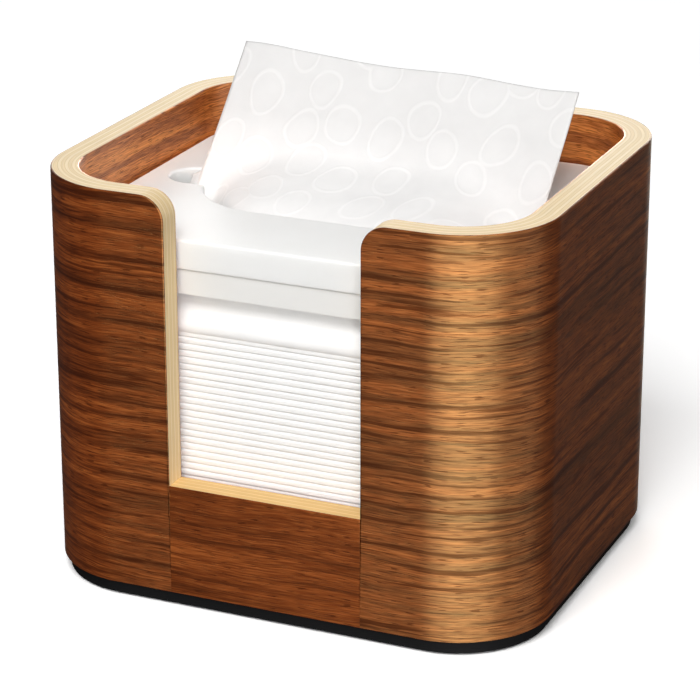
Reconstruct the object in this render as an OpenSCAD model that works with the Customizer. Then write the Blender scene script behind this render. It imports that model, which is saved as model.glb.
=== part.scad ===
// Tabletop napkin holder. A moulded plywood wrap with a window in its front holds a stack of
// interfolded napkins, and a weighted plate rests on the stack with one napkin pulled up through it.
// Millimetres. The front faces -Y, and the origin is on the table under the middle of the body.

/* [Wrap] */
// Width of the plywood wrap
body_w = 196; // [176:1:240]
// Depth of the plywood wrap, front to back
body_d = 170; // [150:1:210]
// Height of the plywood wrap, without the base
wood_h = 153; // [130:1:190]
// Outer corner radius, seen from above
corner_r = 37; // [30:1:44]
// Thickness of the whole wall, with both veneers
wall_t = 10.5; // [8:0.5:14]
// Thickness of each walnut veneer
veneer_t = 0.6; // [0.4:0.1:1]

/* [Front window and rail] */
// Width of the window, which is also the length of the rail below it
window_w = 76; // [56:1:96]
// Radius that turns the rim down into the sides of the window
window_r = 9.5; // [6:0.5:20]
// Height of the rail below the window
rail_h = 42.5; // [26:0.5:70]
// Diameter of the dowels that join the rail to the wrap
dowel_d = 5; // [4:0.5:6]
// Length of each dowel
dowel_l = 24; // [16:1:30]
// Radial glue gap round a dowel
glue_gap = 0.05; // [0.02:0.01:0.1]

/* [Base] */
// Height of the plinth that shows below the wood
plinth_h = 5.4; // [4:0.2:10]
// How far the plinth is set in from the wood
plinth_inset = 2.4; // [1:0.2:5]
// Thickness of the plinth's floor
floor_t = 2.6; // [2:0.2:3.2]
// Thickness of the plinth's outer skirt and ribs
skirt_t = 2.4; // [1.6:0.2:4]
// Height of the rim that locates the wood
upstand_h = 8; // [7:0.5:14]
// Thickness of the rim that locates the wood
upstand_t = 2.4; // [2:0.2:3]
// Gap between that rim and the wood
upstand_gap = 0.25; // [0.1:0.05:0.5]
// Diameter of the rubber feet
foot_d = 14; // [10:1:20]
// Thickness of the rubber feet
foot_t = 2.2; // [1.6:0.2:3]
// How far the feet stand below the plinth
foot_proud = 0.8; // [0.4:0.1:1.2]
// Distance of the feet from the outer corners of the wood, along each side
foot_inset = 30; // [24:1:40]

/* [Press plate] */
// Depth of the plate's top below the rim
plate_drop = 19; // [8:1:40]
// Running gap between the plate and the wood all round
plate_gap = 1.6; // [0.8:0.1:3]
// Height of the plate's upper cover
cover_h = 11.3; // [9:0.1:15]
// Height of the lower tray that shows below the cover
tray_h = 9.5; // [7:0.1:14]
// How far the lower tray is set in from the cover
tray_inset = 0.8; // [0.4:0.1:2]
// Thickness of the cover's top
cover_top_t = 3; // [2:0.2:4]
// Thickness of the plate's other walls
plate_wall_t = 2.2; // [1.6:0.2:3]
// Free length at each end of the slot beside the napkin
slot_end_gap = 5.5; // [3:0.5:10]
// Width of the slot, front to back
slot_w = 20; // [16:1:26]
// Length of the narrow stretch at each end of the opening
slot_nose_l = 17; // [10:1:26]
// Width of the plate's land in front of the wide middle of the opening, and behind it
land_d = 40; // [36:1:48]
// Clearance between the plate's own parts
part_gap = 0.2; // [0.1:0.05:0.4]
// Width of each steel ballast bar
bar_w = 20; // [12:1:24]
// Thickness of each steel ballast bar
bar_t = 6; // [3:0.5:8]
// Free space between a ballast bar's fence and the screw bosses beside it
bar_end_gap = 8; // [1:0.5:20]
// Distance of the plate's screws from its outer sides
boss_inset = 20; // [16:1:24]

/* [Screws] */
// Diameter of the screw shanks
screw_d = 3; // [2.5:0.1:3.5]
// Diameter of the screw heads
screw_head_d = 5.4; // [5:0.1:6]
// How far the screws of the base reach into the wood
base_screw_bite = 6; // [4:0.5:6.5]
// How far the screws of the plate reach into its cover
plate_screw_bite = 4; // [3:0.5:5]

/* [Napkins] */
// Free space between the stack and the wood at the front and back
stack_end_gap = 3.3; // [3:0.1:8]
// Gap between the stack's corners and the round corners of the wood, which sets its width
stack_corner_gap = 1; // [0.5:0.1:3]
// Height that one folded edge takes in the stack
fold_pitch = 2.6; // [1.8:0.1:4]
// Thickness of the top napkin, which is folded over the front of the stack
top_napkin_t = 1.2; // [0.8:0.1:2]
// How far that napkin hangs down over the front of the stack
flap_h = 15; // [8:1:30]
// Radius with which it turns down
flap_r = 6; // [4:0.5:8]
// Gap between the plate and what it rests on
rest_gap = 0.3; // [0.2:0.1:0.5]
// Slope of the napkin that is pulled up, above the horizontal
leaf_slope = 44; // [35:1:60]
// Length of that napkin above the plate, along its slope
leaf_up = 55; // [30:1:80]
// Length of that napkin below the plate's top, along its slope
leaf_down = 15; // [10:1:18]
// Thickness of that napkin
leaf_t = 0.9; // [0.6:0.1:1.2]
// Height of the waves across that napkin, from its middle
leaf_wave = 0.4; // [0:0.1:0.4]
// Length of one of those waves
leaf_wave_l = 47; // [30:1:80]

/* [Hidden] */
// Levels, measured up from the table
wood_z = foot_proud + plinth_h;
rim_z = wood_z + wood_h;
plate_top_z = rim_z - plate_drop;
plate_h = cover_h + tray_h;
plate_z = plate_top_z - plate_h;
parting_z = plate_z + tray_h;
stack_top_z = plate_z - rest_gap;

// The space inside the wood
cavity_w = body_w - 2 * wall_t;
cavity_d = body_d - 2 * wall_t;
plate_w = cavity_w - 2 * plate_gap;
plate_d = cavity_d - 2 * plate_gap;
plate_inset = wall_t + plate_gap;
inner_r = corner_r - wall_t;

// Dowels, screws and their holes
dowel_z = [wood_z + 0.34 * rail_h, wood_z + 0.76 * rail_h];
dowel_end_gap = 0.5;
hole_gap = 0.05;
head_cone_t = (screw_head_d - screw_d) / 2;
base_screw_z = wood_z + upstand_h / 2;
base_screw_l = upstand_t + upstand_gap + base_screw_bite;
pan_head_t = 1.9;
head_recess_t = pan_head_t + 0.3;
plate_screw_l = tray_h - head_recess_t + plate_screw_bite;
drive_w = 0.7;
drive_d = 1.0;
boss_wall = 1.6;
boss_d = screw_head_d + 2 * boss_wall;
boss_x = plate_w / 2 - boss_inset;
boss_y = plate_d / 2 - boss_inset;

// Napkins
stack_side_gap = inner_r
    - sqrt(pow(inner_r - stack_corner_gap, 2) - pow(inner_r - stack_end_gap, 2));
napkin_w = cavity_w - 2 * stack_side_gap;
napkin_d = cavity_d - 2 * stack_end_gap;
stack_body_h = stack_top_z - top_napkin_t - wood_z;
fold_count = round(stack_body_h / fold_pitch);
fold_overlap = 0.06;
fold_h = (stack_body_h - fold_overlap) / fold_count;
fold_r = (fold_h + fold_overlap) / 2;
flap_gap = 0.1;
flap_inner_r = flap_r - top_napkin_t;

// The opening in the plate
slot_l = napkin_w + 2 * slot_end_gap;
mouth_w = slot_l - 2 * slot_nose_l;
mouth_d = plate_d - 2 * land_d;

// The pulled napkin. leaf_y is where its middle line crosses the level of the plate's top: it
// leans on the slot's rear edge, and where the slot's ends curve in, it stays clear of them
leaf_clear = 0.4;
leaf_side_clear = 0.2;
leaf_steps = 48;
wave_start = 60;
function leaf_x(i) = napkin_w * (i / leaf_steps - 0.5);
function wave(x) = leaf_wave * sin(360 * x / leaf_wave_l + wave_start);
function slot_half(x) = let (into = max(0, abs(x) - (slot_l - slot_w) / 2))
    sqrt(pow(slot_w / 2, 2) - pow(into, 2));
function leaf_limit(x) =
    slot_half(x) - (leaf_t / 2 + wave(x) + leaf_side_clear) / sin(leaf_slope);
leaf_y = min(slot_w / 2 - (leaf_t / 2 + leaf_wave + leaf_clear) / sin(leaf_slope),
    min([for (i = [0 : leaf_steps]) leaf_limit(leaf_x(i))]));
// The part of that napkin that fills the wide middle of the opening, in front of its slope
bulge_edge_gap = 1.6;
bulge_sink = 3;
bulge_rise = 1.6;
bulge_join = 5;
bulge_reach = 8;
bulge_steps = 16;
slope_dir = [cos(leaf_slope), sin(leaf_slope)];
slope_normal = [-sin(leaf_slope), cos(leaf_slope)];
// Its end keeps inside the waves, so that it never comes out behind the napkin
bulge_off = leaf_wave - leaf_t / 2 + leaf_t / 2 * cos(leaf_slope);

// Ballast bars lie halfway between the opening and the outer wall
fence_t = 1.4;
fence_h = 3;
bar_l = 2 * (boss_x - boss_d / 2 - bar_end_gap - fence_t - part_gap);
bar_y = (mouth_d / 2 + plate_d / 2 - tray_inset) / 2;
bar_z = plate_z + plate_wall_t;
lip_h = 2;

// Moulded details of the base
rib_x = body_w / 5;
rib_y = body_d / 5;
foot_pad_wall = 2.5;

$fn = 96;
over = 1;

// ---- Outlines seen from above ----

// A rectangle with round corners
module round_rect(w, d, r) {
    square([w - 2 * r, d], center = true);
    square([w, d - 2 * r], center = true);
    for (x = [-1, 1], y = [-1, 1])
        translate([x * (w / 2 - r), y * (d / 2 - r)]) circle(r = r);
}

// The outline of the body, moved in by a distance
module body_outline(inset)
    round_rect(body_w - 2 * inset, body_d - 2 * inset, corner_r - inset);

// A slot with round ends
module round_slot(l, w) {
    square([l - w, w], center = true);
    for (x = [-1, 1]) translate([x * (l - w) / 2, 0]) circle(d = w);
}

// The opening in the press plate: a long slot with a wide middle, grown by a distance
module opening_outline(grow) {
    round_slot(slot_l + 2 * grow, slot_w + 2 * grow);
    round_slot(mouth_w + 2 * grow, mouth_d + 2 * grow);
}

// ---- Shapes that repeat ----

// What the window takes out of the front wall, from the table to above the rim
module window_cut() {
    half = window_w / 2;
    translate([0, -body_d / 2 + corner_r, 0]) rotate([90, 0, 0])
        linear_extrude(height = corner_r + over) {
            translate([-half, 0]) square([window_w, rim_z + over]);
            difference() {
                translate([-half - window_r, rim_z - window_r])
                    square([window_w + 2 * window_r, window_r + over]);
                for (x = [-1, 1])
                    translate([x * (half + window_r), rim_z - window_r]) circle(r = window_r);
            }
        }
}

// One layer of the wall, between two distances in from the outer face
module wrap_layer(outer, inner) {
    difference() {
        translate([0, 0, wood_z]) linear_extrude(height = wood_h) difference() {
            body_outline(outer);
            body_outline(inner);
        }
        window_cut();
    }
}

// One layer of the rail, between two distances in from the outer face
module rail_layer(outer, inner)
    translate([-window_w / 2, -body_d / 2 + outer, wood_z])
        cube([window_w, inner - outer, rail_h]);

// A cylinder at each dowel's place
module at_dowels(r, l)
    for (x = [-1, 1], z = dowel_z)
        translate([x * window_w / 2, -body_d / 2 + wall_t / 2, z]) rotate([0, 90, 0])
            cylinder(h = l, r = r, center = true);

// Places its children at each base screw: Z points outwards, from the rim's inner face
module at_base_screws() {
    y_face = cavity_d / 2 - upstand_gap - upstand_t;
    x_face = cavity_w / 2 - upstand_gap - upstand_t;
    x_front = (window_w / 2 + cavity_w / 2 - corner_r + wall_t) / 2;
    y_side = rib_y;
    for (x = [-1, 1]) {
        translate([x * x_front, -y_face, base_screw_z]) rotate([90, 0, 0]) children();
        translate([x * x_front, y_face, base_screw_z]) rotate([-90, 0, 0]) children();
        for (y = [-1, 1])
            translate([x * x_face, y * y_side, base_screw_z]) rotate([0, x * 90, 0]) children();
    }
}

// A hole for a countersunk screw: clearance or pilot, with its head's cone at the start
module screw_hole(r, l) {
    translate([0, 0, -over]) cylinder(h = l + over, r = r);
    cone_r = screw_head_d / 2 + hole_gap;
    cylinder(h = head_cone_t, r1 = cone_r, r2 = cone_r - head_cone_t);
    translate([0, 0, -over]) cylinder(h = over, r = cone_r);
}

// The cross in a screw's head, cut down from its top at z = 0
module drive_cross()
    for (a = [0, 90]) rotate([0, 0, a])
        translate([-screw_head_d / 3, -drive_w / 2, -over])
            cube([2 * screw_head_d / 3, drive_w, drive_d + over]);

// A countersunk screw along Z, with its head's face at z = 0
module countersunk_screw(l) {
    difference() {
        union() {
            cylinder(h = head_cone_t, d1 = screw_head_d, d2 = screw_d);
            cylinder(h = l, d = screw_d);
        }
        drive_cross();
    }
}

// A pan-head screw along Z, with its head below z = 0
module pan_head_screw(l) {
    difference() {
        union() {
            translate([0, 0, -pan_head_t]) cylinder(h = pan_head_t, d = screw_head_d);
            cylinder(h = l, d = screw_d);
        }
        translate([0, 0, -pan_head_t]) drive_cross();
    }
}

// Places its children at each corner where a foot is
module at_feet()
    for (x = [-1, 1], y = [-1, 1])
        translate([x * (body_w / 2 - foot_inset), y * (body_d / 2 - foot_inset), 0]) children();

// Places its children at each corner screw of the press plate
module at_bosses()
    for (x = [-1, 1], y = [-1, 1]) translate([x * boss_x, y * boss_y, 0]) children();

// A rubber foot at one corner; side and end are -1 or 1
module foot(side, end)
    translate([side * (body_w / 2 - foot_inset), end * (body_d / 2 - foot_inset), 0]) {
        cylinder(h = foot_proud, d1 = foot_d - 2 * foot_proud, d2 = foot_d);
        translate([0, 0, foot_proud]) cylinder(h = foot_t - foot_proud, d = foot_d);
    }

// A ballast bar in front of the opening (end = -1) or behind it (end = 1)
module ballast_bar(end)
    translate([-bar_l / 2, end * bar_y - bar_w / 2, bar_z]) cube([bar_l, bar_w, bar_t]);

// ---- The wrap ----

// Bent birch plywood between its two veneers
module wrap_core() color("burlywood") difference() {
    wrap_layer(veneer_t, wall_t - veneer_t);
    at_dowels(dowel_d / 2 + glue_gap, dowel_l + 2 * dowel_end_gap);
    at_base_screws() cylinder(h = base_screw_l + dowel_end_gap, d = screw_d + 2 * hole_gap);
}

// Walnut on the outside
module outer_veneer() color("saddlebrown") wrap_layer(0, veneer_t);

// Walnut on the inside
module inner_veneer() color("sienna") difference() {
    wrap_layer(wall_t - veneer_t, wall_t);
    at_base_screws() cylinder(h = base_screw_l, d = screw_d + 2 * hole_gap);
}

// The straight piece that closes the front below the window
module rail_core() color("burlywood") difference() {
    rail_layer(veneer_t, wall_t - veneer_t);
    at_dowels(dowel_d / 2 + glue_gap, dowel_l + 2 * dowel_end_gap);
}

// Walnut on the face of the rail
module rail_face_veneer() color("peru") rail_layer(0, veneer_t);

// Walnut on the back of the rail
module rail_back_veneer() color("sienna") rail_layer(wall_t - veneer_t, wall_t);

// Beech dowels, two in each end of the rail
module rail_dowels() color("wheat") at_dowels(dowel_d / 2, dowel_l);

// ---- The base ----

// Moulded plinth with a floor, a skirt and ribs below it, and a rim that stands inside the wood
module base_tray() color([0.13, 0.13, 0.13]) {
    pocket_h = plinth_h - floor_t;
    difference() {
        translate([0, 0, foot_proud]) linear_extrude(height = plinth_h)
            body_outline(plinth_inset);
        difference() {
            translate([0, 0, foot_proud - over]) linear_extrude(height = pocket_h + over)
                body_outline(plinth_inset + skirt_t);
            for (i = [-1, 0, 1]) {
                translate([i * rib_x - skirt_t / 2, -body_d / 2, foot_proud - over])
                    cube([skirt_t, body_d, plinth_h]);
                translate([-body_w / 2, i * rib_y - skirt_t / 2, foot_proud - over])
                    cube([body_w, skirt_t, plinth_h]);
            }
            at_feet() cylinder(h = plinth_h, d = foot_d + 2 * foot_pad_wall);
        }
        at_feet() cylinder(h = foot_t, d = foot_d + 2 * part_gap);
    }
    // The rim stands along the straight sides only, clear of the round corners
    difference() {
        translate([0, 0, wood_z - over]) linear_extrude(height = upstand_h + over) difference() {
            body_outline(wall_t + upstand_gap);
            body_outline(wall_t + upstand_gap + upstand_t);
            for (x = [-1, 1], y = [-1, 1])
                translate([x * cavity_w / 2, y * cavity_d / 2])
                    square(2 * inner_r, center = true);
        }
        at_base_screws() screw_hole(screw_d / 2 + hole_gap, upstand_t + over);
    }
}

// Countersunk screws through the rim into the wood
module base_screws() color("silver") at_base_screws() countersunk_screw(base_screw_l);

module foot_front_left() color("dimgray") foot(-1, -1);

module foot_front_right() color("dimgray") foot(1, -1);

module foot_rear_left() color("dimgray") foot(-1, 1);

module foot_rear_right() color("dimgray") foot(1, 1);

// ---- The press plate ----

// Upper shell with a collar that lines the opening from top to bottom
module press_plate_cover() color("whitesmoke") {
    void_h = cover_h - cover_top_t;
    difference() {
        union() {
            difference() {
                translate([0, 0, parting_z]) linear_extrude(height = cover_h)
                    body_outline(plate_inset);
                translate([0, 0, parting_z - over]) linear_extrude(height = void_h + over)
                    body_outline(plate_inset + plate_wall_t);
            }
            translate([0, 0, plate_z]) linear_extrude(height = plate_h)
                opening_outline(plate_wall_t);
            at_bosses() translate([0, 0, parting_z]) cylinder(h = void_h + over, d = boss_d - 1);
        }
        translate([0, 0, plate_z - over]) linear_extrude(height = plate_h + 2 * over)
            opening_outline(0);
        at_bosses() translate([0, 0, parting_z - over])
            cylinder(h = void_h + over, d = screw_d + 2 * hole_gap);
    }
}

// Lower shell: a bottom round the opening, a wall with a lip that locates the cover, and
// fences that hold the ballast bars
module press_plate_tray() color("gainsboro") {
    outer = plate_inset + tray_inset;
    lip_inset = plate_inset + plate_wall_t + part_gap;
    difference() {
        union() {
            translate([0, 0, plate_z]) linear_extrude(height = plate_wall_t)
                body_outline(outer);
            translate([0, 0, plate_z]) linear_extrude(height = tray_h) difference() {
                body_outline(outer);
                body_outline(outer + plate_wall_t);
            }
            translate([0, 0, parting_z - lip_h]) linear_extrude(height = 2 * lip_h) difference() {
                body_outline(lip_inset);
                body_outline(lip_inset + fence_t);
            }
            at_bosses() translate([0, 0, plate_z]) cylinder(h = tray_h, d = boss_d);
            for (end = [-1, 1])
                translate([0, end * bar_y, bar_z - over]) linear_extrude(height = fence_h + over)
                    difference() {
                        square([bar_l + 2 * (fence_t + part_gap),
                            bar_w + 2 * (fence_t + part_gap)], center = true);
                        square([bar_l + 2 * part_gap, bar_w + 2 * part_gap], center = true);
                    }
        }
        translate([0, 0, plate_z - over]) linear_extrude(height = plate_wall_t + 2 * over)
            opening_outline(plate_wall_t + part_gap);
        at_bosses() {
            translate([0, 0, plate_z - over])
                cylinder(h = tray_h + 2 * over, d = screw_d + 2 * hole_gap);
            translate([0, 0, plate_z - over])
                cylinder(h = head_recess_t + over, d = screw_head_d + 2 * part_gap);
        }
    }
}

module ballast_bar_front() color("slategray") ballast_bar(-1);

module ballast_bar_rear() color("slategray") ballast_bar(1);

// Screws that hold the tray to the cover, from below
module plate_screws() color("silver") at_bosses()
    translate([0, 0, plate_z + head_recess_t]) pan_head_screw(plate_screw_l);

// ---- The napkins ----

// How far the front of a fold is set back, so that the top napkin can pass over it
function set_back(depth) = depth >= flap_h ? 0
    : top_napkin_t + flap_gap
        + (depth < flap_inner_r ? flap_inner_r - sqrt(flap_inner_r * flap_inner_r
            - (flap_inner_r - depth) * (flap_inner_r - depth)) : 0);

// The folded napkins that wait under the plate, each with its round folded edges
module napkin_stack() color("white")
    translate([-napkin_w / 2, 0, 0]) rotate([90, 0, 90]) linear_extrude(height = napkin_w)
        for (i = [0 : fold_count - 1]) {
            y0 = -napkin_d / 2 + set_back((fold_count - 1 - i) * fold_h) + fold_r;
            y1 = napkin_d / 2 - fold_r;
            z = wood_z + fold_r + i * fold_h;
            translate([y0, z - fold_h / 2]) square([y1 - y0, fold_h]);
            for (y = [y0, y1]) translate([y, z]) circle(r = fold_r);
        }

// The uppermost napkin, which lies on the stack and hangs over its front
module top_napkin() color("white")
    translate([-napkin_w / 2, 0, 0]) rotate([90, 0, 90]) linear_extrude(height = napkin_w) {
        under_z = stack_top_z - top_napkin_t;
        front = -napkin_d / 2;
        translate([front + flap_r, under_z]) square([napkin_d - flap_r, top_napkin_t]);
        translate([front, stack_top_z - flap_h])
            square([top_napkin_t, flap_h - flap_r]);
        intersection() {
            translate([front, stack_top_z - flap_r]) square(flap_r);
            translate([front + flap_r, stack_top_z - flap_r]) difference() {
                circle(r = flap_r);
                circle(r = flap_inner_r);
            }
        }
    }

// A point on the curve from the front edge of the opening up to the slope, t from 0 to 1
function bulge_point(t) =
    let (p0 = [-mouth_d / 2 + bulge_edge_gap, plate_top_z - bulge_sink],
         p1 = [-mouth_d / 4, plate_top_z + bulge_rise],
         p3 = [leaf_y, plate_top_z] + bulge_join * slope_dir + bulge_off * slope_normal,
         p2 = p3 - bulge_reach * slope_dir)
    pow(1 - t, 3) * p0 + 3 * pow(1 - t, 2) * t * p1 + 3 * (1 - t) * t * t * p2 + t * t * t * p3;

// The napkin that stands pulled up through the opening and leans back
module pulled_napkin() color("ghostwhite") {
    leaf_l = leaf_up + leaf_down;
    top_side = [for (i = [0 : leaf_steps]) [leaf_x(i), wave(leaf_x(i)) + leaf_t / 2]];
    low_side = [for (i = [leaf_steps : -1 : 0]) [leaf_x(i), wave(leaf_x(i)) - leaf_t / 2]];
    translate([0, leaf_y, plate_top_z]) rotate([leaf_slope - 90, 0, 0])
        translate([0, 0, -leaf_down]) linear_extrude(height = leaf_l)
            polygon(concat(top_side, low_side));
    intersection() {
        upper = [for (i = [0 : bulge_steps]) bulge_point(i / bulge_steps) + [0, leaf_t / 2]];
        lower = [for (i = [bulge_steps : -1 : 0])
            bulge_point(i / bulge_steps) - [0, leaf_t / 2]];
        translate([-mouth_w / 2, 0, 0]) rotate([90, 0, 90]) linear_extrude(height = mouth_w)
            polygon(concat(upper, lower));
        translate([0, 0, plate_z]) linear_extrude(height = plate_h + leaf_up)
            round_slot(mouth_w - 2 * bulge_edge_gap, mouth_d - 2 * bulge_edge_gap);
    }
}

wrap_core();
outer_veneer();
inner_veneer();
rail_core();
rail_face_veneer();
rail_back_veneer();
rail_dowels();
base_tray();
base_screws();
foot_front_left();
foot_front_right();
foot_rear_left();
foot_rear_right();
press_plate_cover();
press_plate_tray();
ballast_bar_front();
ballast_bar_rear();
plate_screws();
napkin_stack();
top_napkin();
pulled_napkin();
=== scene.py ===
"""Tabletop napkin holder: a bent plywood box faced with walnut, a white press plate with a slot,
and the paper napkins that it holds. Everything is in metres, in the frame of the CAD model:
Z is up, the window faces -Y, and the origin is on the table under the middle of the box."""

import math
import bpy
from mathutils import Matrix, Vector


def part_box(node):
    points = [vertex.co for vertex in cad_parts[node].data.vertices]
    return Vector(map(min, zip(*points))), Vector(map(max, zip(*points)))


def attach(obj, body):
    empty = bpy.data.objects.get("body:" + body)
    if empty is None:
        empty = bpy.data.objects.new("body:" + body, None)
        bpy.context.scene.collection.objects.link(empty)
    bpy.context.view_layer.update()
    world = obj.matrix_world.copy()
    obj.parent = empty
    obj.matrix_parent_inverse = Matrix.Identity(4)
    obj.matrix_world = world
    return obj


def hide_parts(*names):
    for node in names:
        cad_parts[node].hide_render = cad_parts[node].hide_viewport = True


bl_info = {
    "name": "Tabletop napkin holder",
    "version": (1, 0, 0),
    "blender": (4, 5, 0),
    "location": "3D View > Sidebar > Napkin holder",
    "description": "Builds the surfaces and finishes of a bent plywood napkin holder",
    "category": "Add Mesh",
}

import bmesh
import bpy
from bpy.props import FloatProperty, FloatVectorProperty, IntProperty, PointerProperty
from mathutils import Vector, noise
from mathutils.geometry import tessellate_polygon

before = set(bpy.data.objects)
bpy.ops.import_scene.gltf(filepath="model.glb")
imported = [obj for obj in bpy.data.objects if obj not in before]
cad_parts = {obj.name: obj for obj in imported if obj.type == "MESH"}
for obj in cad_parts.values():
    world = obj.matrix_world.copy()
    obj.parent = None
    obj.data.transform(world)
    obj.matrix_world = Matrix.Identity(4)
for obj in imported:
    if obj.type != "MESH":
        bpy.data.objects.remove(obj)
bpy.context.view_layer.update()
WOOD_LOW, WOOD_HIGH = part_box("outer_veneer")
RAIL_LOW, RAIL_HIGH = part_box("rail_core")
PLATE_LOW, PLATE_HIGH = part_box("press_plate_cover")
STACK_LOW, STACK_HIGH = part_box("napkin_stack")
TOP_LOW, TOP_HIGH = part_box("top_napkin")
LEAF_LOW, LEAF_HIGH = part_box("pulled_napkin")


def srgb(code):
    """The linear red, green and blue of an sRGB hex colour."""
    parts = [int(code[i : i + 2], 16) / 255 for i in (1, 3, 5)]
    return [p / 12.92 if p <= 0.04045 else ((p + 0.055) / 1.055) ** 2.4 for p in parts]


# ---- Sizes and colours that a user would change ----


def size_setting(name, description, default, unit="LENGTH"):
    """A length in metres, or an angle, that a user can change."""
    return FloatProperty(name=name, description=description, default=default, unit=unit)


def colour_setting(name, description, code):
    """A colour that a user can change, from its sRGB hex value."""
    return FloatVectorProperty(
        name=name, description=description, default=srgb(code), subtype="COLOR", min=0, max=1
    )


class BoxSettings(bpy.types.PropertyGroup):
    corner_r: size_setting("Corner radius", "Outer radius of the box's corners", 0.037)
    wall_t: size_setting("Wall", "Thickness of the plywood with both veneers", 0.0105)
    veneer_t: size_setting("Veneer", "Thickness of each walnut veneer", 0.0006)
    window_r: size_setting("Window radius", "Radius that turns the rim down into the window", 0.0095)
    edge_r: size_setting("Eased edge", "Radius that the edges are sanded to", 0.0005)
    seam_r: size_setting("Seam", "Radius of the edges that meet at the rail's seams", 0.00005)
    plies: IntProperty(name="Plies", description="Birch plies between the veneers", default=7)


class PlateSettings(bpy.types.PropertyGroup):
    corner_r: size_setting("Corner radius", "Outer radius of the plate's corners", 0.0249)
    edge_r: size_setting("Edge radius", "Radius round the plate's upper edge", 0.0010)
    slot_w: size_setting("Slot width", "Width of the slot, front to back", 0.020)
    slot_end_gap: size_setting("Slot end gap", "Free length beside the napkin at each end", 0.0055)
    nose_l: size_setting("Narrow stretch", "Length of the narrow stretch at each end", 0.017)
    land_d: size_setting("Land", "Plate in front of the wide middle, and behind it", 0.040)
    wall_t: size_setting("Wall", "Thickness of the plate's walls", 0.0022)
    top_t: size_setting("Top", "Thickness of the plate's top", 0.003)


class NapkinSettings(bpy.types.PropertyGroup):
    fold_pitch: size_setting("Fold pitch", "Height of one folded edge in the stack", 0.0026)
    unevenness: size_setting("Unevenness", "How far the folded edges stray", 0.0003)
    seed: IntProperty(name="Seed", description="Seed of the stack's unevenness", default=7)
    slope: size_setting("Slope", "Slope of the pulled napkin", math.radians(44), "ROTATION")
    leaf_t: size_setting("Leaf thickness", "Thickness of the pulled napkin", 0.0006)
    emboss_size: size_setting("Emboss size", "Usual width of one embossed pebble", 0.018)


class ColourSettings(bpy.types.PropertyGroup):
    walnut_dark: colour_setting("Walnut, dark streaks", "Darkest growth of the veneer", "#481c0b")
    walnut_mid: colour_setting("Walnut, middle", "Usual tone of the veneer", "#7e3814")
    walnut_light: colour_setting("Walnut, light bands", "Lightest growth of the veneer", "#b35f2a")
    birch_pale: colour_setting("Birch, pale plies", "Plies cut along the grain", "#edd6ad")
    birch_deep: colour_setting("Birch, deep plies", "Plies cut across the grain", "#e6cc9d")
    glue_line: colour_setting("Glue line", "Line between two plies", "#cba866")
    plate_white: colour_setting("Plate", "Frosted plastic of the press plate", "#f3f3f1")
    paper_white: colour_setting("Paper", "Tissue of the napkins", "#f9f8f7")
    base_black: colour_setting("Base", "Black plastic of the plinth", "#121213")


# ---- Meshes ----


def mesh_object(name, points, faces, maps=None, sharp=40):
    """A new object with this mesh. maps holds a UV for each point, by the map's name. Edges that
    turn more than sharp degrees stay crisp, and the others are shaded smooth."""
    mesh = bpy.data.meshes.new(name)
    mesh.from_pydata([tuple(p) for p in points], [], faces)
    mesh.validate()
    for label, values in (maps or {}).items():
        layer = mesh.uv_layers.new(name=label)
        for loop in mesh.loops:
            layer.data[loop.index].uv = values[loop.vertex_index]
    mesh.shade_smooth()
    mesh.set_sharp_from_angle(angle=math.radians(sharp))
    piece = bpy.data.objects.new(name, mesh)
    bpy.context.scene.collection.objects.link(piece)
    return piece


def flat_faces_first(piece):
    """Large flat faces keep their own direction next to small rounded ones."""
    weigh = piece.modifiers.new("Even shading", "WEIGHTED_NORMAL")
    weigh.keep_sharp = True
    weigh.weight = 100


def finish_piece(piece, material, body, slot, *nodes):
    """Gives a piece its material, its body and the CAD nodes it stands for, which it hides. Its slot is not used."""
    if not piece.data.materials:
        piece.data.materials.append(material)
    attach(piece, body)
    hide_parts(*nodes)


def wall_line(half_gap, radius):
    """The outer face of the wrap seen from above, from the window's left side round the back to
    its right side, as (length, function from the distance along it to a point and its direction
    outwards)."""
    w, d = WOOD_HIGH.x, WOOD_HIGH.y
    arc = radius * math.pi / 2
    front, side, back = w - radius - half_gap, 2 * (d - radius), 2 * (w - radius)
    runs = [
        (front, (-half_gap, -d), (-1, 0), -90),
        (arc, (radius - w, radius - d), None, -90),
        (side, (-w, radius - d), (0, 1), 180),
        (arc, (radius - w, d - radius), None, 180),
        (back, (radius - w, d), (1, 0), 90),
        (arc, (w - radius, d - radius), None, 90),
        (side, (w, d - radius), (0, -1), 0),
        (arc, (w - radius, radius - d), None, 0),
        (front, (w - radius, -d), (-1, 0), -90),
    ]

    def at(s):
        for length, start, way, angle in runs:
            if s <= length or (length, start, way, angle) == runs[-1]:
                break
            s -= length
        if way:
            a = math.radians(angle)
            point = Vector((start[0] + way[0] * s, start[1] + way[1] * s))
        else:
            a = math.radians(angle) - s / radius
            point = Vector(start) + radius * Vector((math.cos(a), math.sin(a)))
        return point, Vector((math.cos(a), math.sin(a)))

    stops, s = [], 0
    for length, start, way, angle in runs:
        steps = 1 if way else 26
        stops += [s + length * i / steps for i in range(steps)]
        s += length
    return s, at, stops + [s]


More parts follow.
